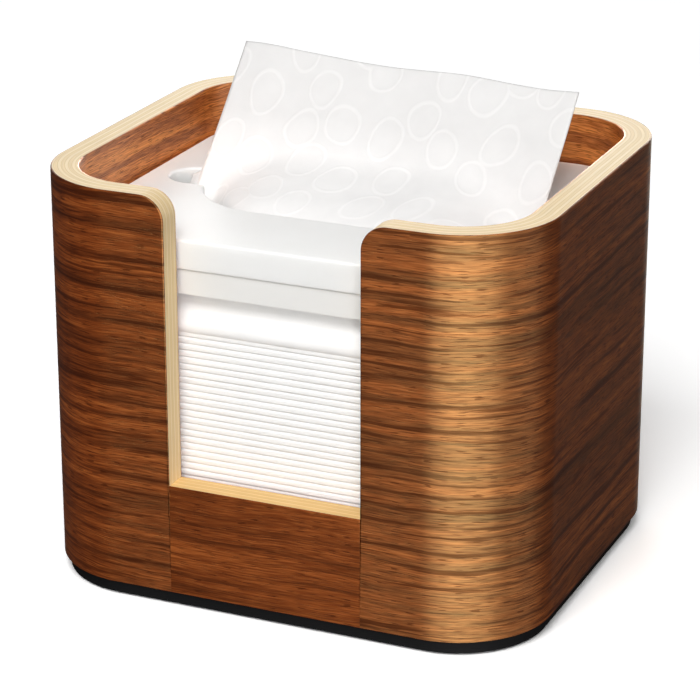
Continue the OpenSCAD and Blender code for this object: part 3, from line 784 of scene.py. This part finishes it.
class HOLDER_OT_stack(bpy.types.Operator):
    """Builds the stack of folded napkins with Geometry Nodes"""

    bl_idname = "holder.stack"
    bl_label = "Napkin stack"

    def execute(self, context):
        napkins = context.scene.holder_napkins
        height = TOP_HIGH.z - 0.0012 - STACK_LOW.z
        count = round(height / napkins.fold_pitch)
        tree = bpy.data.node_groups.new("Folded napkins", "GeometryNodeTree")
        tree.is_modifier = True
        sockets = {}
        for label, kind, value in (
            ("Count", "NodeSocketInt", count),
            ("Width", "NodeSocketFloat", STACK_HIGH.x - STACK_LOW.x),
            ("Depth", "NodeSocketFloat", STACK_HIGH.y - STACK_LOW.y),
            ("Pitch", "NodeSocketFloat", height / count),
            ("Low", "NodeSocketFloat", STACK_LOW.z),
            ("Unevenness", "NodeSocketFloat", napkins.unevenness),
            ("Seed", "NodeSocketInt", napkins.seed),
            ("Material", "NodeSocketMaterial", tissue_paper("Paper tissue")),
        ):
            made = tree.interface.new_socket(label, in_out="INPUT", socket_type=kind)
            sockets[label] = (made.identifier, value)
        tree.interface.new_socket("Geometry", in_out="OUTPUT", socket_type="NodeSocketGeometry")
        add = node_adder(tree)
        given = add("NodeGroupInput").outputs
        # One napkin: its folded section, seen from the side, is carried across its width
        section = add(
            "GeometryNodeCurvePrimitiveQuadrilateral", {"Width": given["Depth"], "Height": given["Pitch"]}
        )
        nose = add("ShaderNodeMath", {0: given["Pitch"], 1: 0.29}, operation="MULTIPLY")
        section = add(
            "GeometryNodeFilletCurve",
            {"Curve": section, "Radius": nose, "Count": 4, "Limit Radius": True}, mode="POLY",
        )
        half = add("ShaderNodeMath", {0: given["Width"], 1: 0.5}, operation="MULTIPLY")
        less = add("ShaderNodeMath", {0: half, 1: -1.0}, operation="MULTIPLY")
        start = add("ShaderNodeCombineXYZ", {"X": less})
        end = add("ShaderNodeCombineXYZ", {"X": half})
        across = add("GeometryNodeCurvePrimitiveLine", {"Start": start, "End": end})
        across = add("GeometryNodeResampleCurve", {"Curve": across, "Count": 40})
        napkin = add(
            "GeometryNodeCurveToMesh", {"Curve": across, "Profile Curve": section, "Fill Caps": True}
        )
        first = add("ShaderNodeMath", {0: given["Pitch"], 1: 0.5, 2: given["Low"]}, operation="MULTIPLY_ADD")
        begin = add("ShaderNodeCombineXYZ", {"Z": first})
        step = add("ShaderNodeCombineXYZ", {"Z": given["Pitch"]})
        pile = add(
            "GeometryNodeMeshLine", {"Count": given["Count"], "Start Location": begin, "Offset": step}
        )
        spread = add(
            "FunctionNodeRandomValue", {"Min": (0.9975, 0.9975, 1.0), "Max": (1.0, 1.0, 1.0), "Seed": given["Seed"]},
            data_type="FLOAT_VECTOR",
        )
        stack = add(
            "GeometryNodeInstanceOnPoints", {"Points": pile, "Instance": napkin, "Scale": spread}
        )
        stack = add("GeometryNodeRealizeInstances", {"Geometry": stack})
        # The edges stray a little in and out, in a different way on each napkin
        place = add("GeometryNodeInputPosition")
        squeezed = add(
            "ShaderNodeVectorMath", {0: place, 1: (22, 6, 420)}, operation="MULTIPLY"
        )
        stray = add("ShaderNodeTexNoise", {"Vector": squeezed, "Scale": 1, "Detail": 1}).outputs["Color"]
        centred = add(
            "ShaderNodeVectorMath", {0: stray, 1: (0.5, 0.5, 0.5)}, operation="SUBTRACT"
        )
        size = add("ShaderNodeVectorMath", {0: centred, 3: given["Unevenness"]}, operation="SCALE")
        size = add("ShaderNodeVectorMath", {0: size, 1: (1, 1, 0.9)}, operation="MULTIPLY")
        stack = add("GeometryNodeSetPosition", {"Geometry": stack, "Offset": size})
        # The uppermost ones step back under the flap and the shoulder of the top napkin
        place = add("GeometryNodeInputPosition")
        height = add("ShaderNodeSeparateXYZ", {0: place}).outputs[2]
        under = add(
            "ShaderNodeMapRange",
            {"Value": height, "From Min": TOP_LOW.z + 0.0005, "From Max": TOP_LOW.z + 0.0025, "To Min": 1.0, "To Max": 0.972},
        )
        shoulder = add(
            "ShaderNodeMapRange",
            {"Value": height, "From Min": TOP_LOW.z + 0.003, "From Max": TOP_HIGH.z, "To Min": 1.0, "To Max": 0.78},
        )
        drawn = add("ShaderNodeMath", {0: under, 1: shoulder}, operation="MULTIPLY")
        drawn = add("ShaderNodeCombineXYZ", {"X": 1.0, "Y": drawn, "Z": 1.0})
        drawn = add("ShaderNodeVectorMath", {0: place, 1: drawn}, operation="MULTIPLY")
        stack = add("GeometryNodeSetPosition", {"Geometry": stack, "Position": drawn})
        stack = add("GeometryNodeSetShadeSmooth", {"Geometry": stack})
        stack = add("GeometryNodeSetMaterial", {"Geometry": stack, "Material": given["Material"]})
        add("NodeGroupOutput", {"Geometry": stack})
        source = bpy.data.objects.new("napkin_folds_source", bpy.data.meshes.new("napkin_folds_source"))
        context.scene.collection.objects.link(source)
        modifier = source.modifiers.new("Folds", "NODES")
        modifier.node_group = tree
        for identifier, value in sockets.values():
            modifier[identifier] = value
        depsgraph = context.evaluated_depsgraph_get()
        mesh = bpy.data.meshes.new_from_object(source.evaluated_get(depsgraph))
        bpy.data.objects.remove(source)
        mesh.name = "napkin_folds"
        piece = bpy.data.objects.new("napkin_folds", mesh)
        context.scene.collection.objects.link(piece)
        mesh.set_sharp_from_angle(angle=math.radians(50))
        if len(mesh.polygons) < count:
            raise RuntimeError("The stack of napkins came out empty")
        finish_piece(piece, None, "holder", "napkin_paper", "napkin_stack")
        return {"FINISHED"}


def grid_sheet(name, columns, rows, place, measure):
    """A sheet of columns by rows faces. place and measure turn (0 to 1 across, 0 to 1 along) into
    a point and into its place on the flat sheet."""
    points, flat = [], []
    for j in range(rows + 1):
        for i in range(columns + 1):
            points.append(place(i / columns, j / rows))
            flat.append(measure(i / columns, j / rows))
    wide = columns + 1
    faces = [
        (j * wide + i, j * wide + i + 1, (j + 1) * wide + i + 1, (j + 1) * wide + i)
        for j in range(rows)
        for i in range(columns)
    ]
    return points, flat, faces


class HOLDER_OT_top_napkin(bpy.types.Operator):
    """Builds the uppermost napkin, which hangs over the front of the stack"""

    bl_idname = "holder.top_napkin"
    bl_label = "Top napkin"

    def execute(self, context):
        # Under the plate's overhang the paper leans back, so that its upper part lies in shade
        deep, tall, bend = 0.0055, 0.0125, 0.0010
        top = TOP_HIGH.z - 0.0001
        front, back, half = TOP_LOW.y + 0.0002, TOP_HIGH.y, TOP_HIGH.x
        path = [(back, top), (front + deep + bend, top)]
        for k in range(1, 5):
            a = math.pi / 2 * k / 4
            path.append((front + deep + bend * (1 - math.sin(a)), top - bend * (1 - math.cos(a))))
        for k in range(1, 13):
            u = k / 12
            ahead = max(0.0, (u - 0.15) / 0.85)
            ahead = ahead * ahead * (3 - 2 * ahead)
            path.append((front + deep * (1 - ahead), top - bend - (tall - bend) * u))
        path += [(front + 0.0001, TOP_LOW.z + 0.0008), (front + 0.0007, TOP_LOW.z + 0.0002)]
        runs = [math.dist(a, b) for a, b in zip(path, path[1:])]
        rows = [0.0]
        for k, run in enumerate(runs):
            steps = 30 if k == 0 else 1
            first = rows[-1]
            rows += [first + run * (i + 1) / steps for i in range(steps)]

        def place(u, v):
            s = rows[round(v * (len(rows) - 1))]
            x = half * (2 * u - 1)
            wave = 0.00025 * abs(noise.noise(Vector((x * 28, s * 30, 4.2))))
            for (y0, z0), (y1, z1), run in zip(path, path[1:], runs):
                if s <= run + 1e-9:
                    break
                s -= run
            y, z = y0 + (y1 - y0) * s / run, z0 + (z1 - z0) * s / run
            return x, y + wave * (z < top - 0.001), z - wave * (y > front + 0.001)

        def measure(u, v):
            return half * (2 * u - 1), rows[round(v * (len(rows) - 1))]

        points, flat, faces = grid_sheet("top_sheet", 48, len(rows) - 1, place, measure)
        piece = mesh_object("top_sheet", points, faces, {"sheet": flat}, sharp=80)
        body = piece.modifiers.new("Thickness", "SOLIDIFY")
        body.thickness = context.scene.holder_napkins.leaf_t
        body.offset = -1
        finish_piece(piece, bpy.data.materials["Paper tissue"], "holder", "napkin_paper", "top_napkin")
        return {"FINISHED"}


class HOLDER_OT_pulled_napkin(bpy.types.Operator):
    """Builds the napkin that stands up through the slot, with the fold that fills the wide middle"""

    bl_idname = "holder.pulled_napkin"
    bl_label = "Pulled napkin"

    def execute(self, context):
        napkins = context.scene.holder_napkins
        plate = context.scene.holder_plate
        top = PLATE_HIGH.z
        half, t = LEAF_HIGH.x, napkins.leaf_t
        way = Vector((0, math.cos(napkins.slope), math.sin(napkins.slope)))
        rearward = Vector((0, math.sin(napkins.slope), -math.cos(napkins.slope)))
        start = Vector((0, 0.0082, top))
        below = (top - LEAF_LOW.z) / way.z * 0.96

        def reach(x):
            """Length of the leaf above the plate. Its upper edge drops towards the right."""
            across = (x + half) / (2 * half)
            return 0.0572 - 0.0050 * across + 0.0005 * math.sin(across * 9 + 1.5)

        def on_slope(x, s):
            """A point of the leaf, s metres along its slope from the plate's top."""
            free = max(0.0, s) / 0.055
            push = 0.0004 * math.sin(x * math.tau / 0.047 + math.radians(60))
            push += free**1.6 * (
                0.0013 * math.sin(x * 46 + 0.5) + 0.0010 * math.sin(x * 83 + 2.2 + free)
            )
            push += 0.0004 * free * noise.noise(Vector((x * 60, s * 60, 1.7)))
            return start + Vector((x, 0, 0)) + way * s + rearward * push

        mouth_half = half + plate.slot_end_gap - plate.nose_l - 0.0008
        mouth_r = PLATE_HIGH.y - plate.land_d - 0.0008
        straight = mouth_half - mouth_r
        turn = 26 / 78

        def shape(u):
            """Where a column of the leaf is across, how full its fold is, and where that ends."""
            x = half * (2 * u - 1)
            across = 0.975 * x + 0.0018
            full = 1 - min(1.0, max(0.0, (mouth_half - abs(across)) / 0.032))
            full = 1 - full * full
            return x, across, full, 0.012 * full

        def leaf(u, v):
            """The leaf, and below it the fold that fills the wide middle to its front edge. At the
            ends it goes straight down into the slot."""
            x, across, full, joint = shape(u)
            if v >= turn:
                return on_slope(across, joint + (v - turn) / (1 - turn) * (reach(x) - joint))
            b, a = v / turn, 1 - v / turn
            down = on_slope(across, joint - a * (below + joint))
            over = max(0.0, abs(across) - straight)
            edge = -math.sqrt(max(mouth_r**2 - over**2, 0.0))
            end = on_slope(across, joint)
            low = Vector((across, edge, top - 0.0040))
            swell = Vector((across, edge * 0.78, top + 0.0040))
            ease = end - way * 0.0125 - rearward * 0.0008
            p = a**3 * low + 3 * a * a * b * swell + 3 * a * b * b * ease + b**3 * end
            p.z += 0.0022 * a * b * noise.noise(Vector((across * 45, p.y * 60, 9.1)))
            return down.lerp(p, full)

        def flat_leaf(u, v):
            x, across, full, joint = shape(u)
            if v >= turn:
                return x, below + joint + (v - turn) / (1 - turn) * (reach(x) - joint)
            return x, below + joint - (1 - v / turn) * (0.048 * full + (below + joint) * (1 - full))

        points, flat, faces = grid_sheet("leaf", 120, 78, leaf, flat_leaf)

        def back_length(x):
            """The layer behind the leaf ends lower, and under the plate's top at its sides."""
            return 0.014 * (1 - abs(x / half) ** 4) - 0.0035 + 0.0008 * math.sin(x * 60)

        def behind(u, v):
            x = half * (2 * u - 1)
            return on_slope(x * 0.998, v * (below + back_length(x)) - below) + rearward * 0.0009

        def flat_behind(u, v):
            x = half * (2 * u - 1)
            return x, 0.2 + v * (below + back_length(x))

        more_points, more_flat, more_faces = grid_sheet("back", 60, 20, behind, flat_behind)
        n = len(points)
        points += more_points
        flat += more_flat
        faces += [tuple(i + n for i in face) for face in more_faces]
        piece = mesh_object("napkin_leaf", points, faces, {"sheet": flat}, sharp=80)
        body = piece.modifiers.new("Thickness", "SOLIDIFY")
        body.thickness = t
        body.offset = 0
        paper = tissue_paper("Embossed paper tissue", napkins.emboss_size)
        finish_piece(piece, paper, "napkin", "napkin_leaf_paper", "pulled_napkin")
        return {"FINISHED"}


class HOLDER_OT_stage(bpy.types.Operator):
    """Adds the floor, the soft studio lights, the background and the camera"""

    bl_idname = "holder.stage"
    bl_label = "Stage"

    @staticmethod
    def level(add, white, lighting, mirrored):
        """The level that the floor or the world shows: white to the camera and through a window,
        and lower ones where it lights a surface or is mirrored by it."""
        path = add("ShaderNodeLightPath")
        clear = add(
            "ShaderNodeMath",
            {0: path.outputs["Is Camera Ray"], 1: path.outputs["Is Transmission Ray"]}, operation="MAXIMUM",
        )
        dim = add(
            "ShaderNodeMix", {0: path.outputs["Is Glossy Ray"], 2: lighting, 3: mirrored}
        )
        return add("ShaderNodeMix", {0: clear, 2: dim, 3: white})

    def execute(self, context):
        scene = context.scene
        floor = mesh_object(
            "floor", [(-4, -4, 0), (4, -4, 0), (4, 4, 0), (-4, 4, 0)], [(0, 1, 2, 3)]
        )
        material, add, shader = new_material("Pale studio floor")
        # Lacquer mirrors a darker floor and world than the ones that light it, as studio flags do
        paint = self.level(add, 1.45, 0.22, 0.10)
        # Further out the floor turns into plain white background
        place = add("ShaderNodeTexCoord").outputs["Object"]
        away = add("ShaderNodeVectorMath", {0: place}, operation="LENGTH").outputs["Value"]
        far = add(
            "ShaderNodeMapRange", {"Value": away, "From Min": 0.35, "From Max": 1.0},
            interpolation_type="SMOOTHSTEP",
        )
        seen = add("ShaderNodeLightPath").outputs["Is Camera Ray"]
        glow = add("ShaderNodeMath", {0: far, 1: seen}, operation="MULTIPLY")
        less = add("ShaderNodeMath", {0: 1.0, 1: glow}, operation="SUBTRACT")
        paint = add("ShaderNodeMath", {0: paint, 1: less}, operation="MULTIPLY")
        link(paint, shader.inputs["Base Color"])
        link(glow, shader.inputs["Emission Strength"])
        shader.inputs["Emission Color"].default_value = (1, 1, 1, 1)
        shader.inputs["Roughness"].default_value = 1.0
        shader.inputs["Specular IOR Level"].default_value = 0.0
        floor.data.materials.append(material)
        world = bpy.data.worlds.new("Studio")
        scene.world = world
        world.use_nodes = True
        world.node_tree.nodes.clear()
        add = node_adder(world.node_tree)
        light = add(
            "ShaderNodeBackground", {"Color": (1, 1, 1, 1), "Strength": self.level(add, 1.0, 0.22, 0.08)}
        )
        add("ShaderNodeOutputWorld", {"Surface": light})
        both, only_lights, only_mirrored = (True, True), (True, False), (False, True)
        for name, place, target, width, height, power, seen_by in (
            ("strip softbox", (0.57, -1.17, 0.43), (0, 0, 0.30), 0.5, 0.8, 6.5, both),
            ("front softbox", (0.15, -1.02, 1.33), (0, 0, 0.10), 0.8, 0.8, 17.5, only_lights),
            ("top softbox", (0, 0.05, 1.7), (0, 0, 0.10), 1.6, 1.6, 1, both),
            ("rear left softbox", (-0.75, 1.3, 0.5), (0, 0, 0.10), 0.8, 0.9, 8, both),
            # Wide panels that only the lacquer mirrors, round the right corner and at the left edge
            ("front panel", (0.62, -1.18, 0.45), (0, 0, 0.15), 1.8, 0.9, 100, only_mirrored),
            ("right panel", (1.32, -0.05, 0.45), (0, 0, 0.15), 1.05, 0.7, 12, only_mirrored),
            ("rear panel", (-0.25, 1.35, 0.38), (0, 0, 0.15), 1.0, 0.5, 14, only_mirrored),
        ):
            lamp = bpy.data.lights.new(name, "AREA")
            lamp.shape, lamp.size, lamp.size_y, lamp.energy = "RECTANGLE", width, height, power
            away = Vector(place) - Vector(target)
            holder = bpy.data.objects.new(name, lamp)
            holder.location = place
            holder.rotation_euler = away.to_track_quat("Z", "Y").to_euler()
            holder.visible_camera = False
            holder.visible_diffuse, holder.visible_glossy = seen_by
            scene.collection.objects.link(holder)
        camera = bpy.data.objects.new("camera", bpy.data.cameras.new("camera"))
        camera.data.lens = 145.5
        camera.data.sensor_width = 36
        yaw, pitch = math.radians(23.40), math.radians(20.59)
        back = Vector((math.sin(yaw) * math.cos(pitch), -math.cos(yaw) * math.cos(pitch), math.sin(pitch)))
        camera.location = (0.4006, -0.9317, 0.4594)
        camera.rotation_euler = back.to_track_quat("Z", "Y").to_euler()
        camera.data.clip_start, camera.data.clip_end = 0.01, 50
        scene.collection.objects.link(camera)
        scene.camera = camera
        scene.view_settings.view_transform = "Standard"
        return {"FINISHED"}


class HOLDER_PT_panel(bpy.types.Panel):
    """Lists the pieces of the napkin holder and their settings"""

    bl_idname = "HOLDER_PT_panel"
    bl_label = "Napkin holder"
    bl_space_type = "VIEW_3D"
    bl_region_type = "UI"
    bl_category = "Napkin holder"

    def draw(self, context):
        layout = self.layout
        for operator in OPERATORS:
            layout.operator(operator.bl_idname)
        for group in ("holder_box", "holder_plate", "holder_napkins", "holder_colours"):
            box = layout.box()
            settings = getattr(context.scene, group)
            for name in settings.bl_rna.properties.keys():
                if name not in ("rna_type", "name"):
                    box.prop(settings, name)


SETTINGS = {
    "holder_box": BoxSettings,
    "holder_plate": PlateSettings,
    "holder_napkins": NapkinSettings,
    "holder_colours": ColourSettings,
}
OPERATORS = (
    HOLDER_OT_stage,
    HOLDER_OT_wrap,
    HOLDER_OT_rail,
    HOLDER_OT_base,
    HOLDER_OT_plate,
    HOLDER_OT_stack,
    HOLDER_OT_top_napkin,
    HOLDER_OT_pulled_napkin,
)


def register():
    """Registers the settings, the operators and the panel."""
    for name, group in SETTINGS.items():
        bpy.utils.register_class(group)
        setattr(bpy.types.Scene, name, PointerProperty(type=group))
    for operator in OPERATORS:
        bpy.utils.register_class(operator)
    bpy.utils.register_class(HOLDER_PT_panel)


def unregister():
    """Takes away what register added."""
    bpy.utils.unregister_class(HOLDER_PT_panel)
    for operator in reversed(OPERATORS):
        bpy.utils.unregister_class(operator)
    for name, group in SETTINGS.items():
        delattr(bpy.types.Scene, name)
        bpy.utils.unregister_class(group)


def main():
    """Builds the holder."""
    register()
    for operator in OPERATORS:
        area, name = operator.bl_idname.split(".")
        getattr(getattr(bpy.ops, area), name)()


if __name__ == "__main__":
    main()
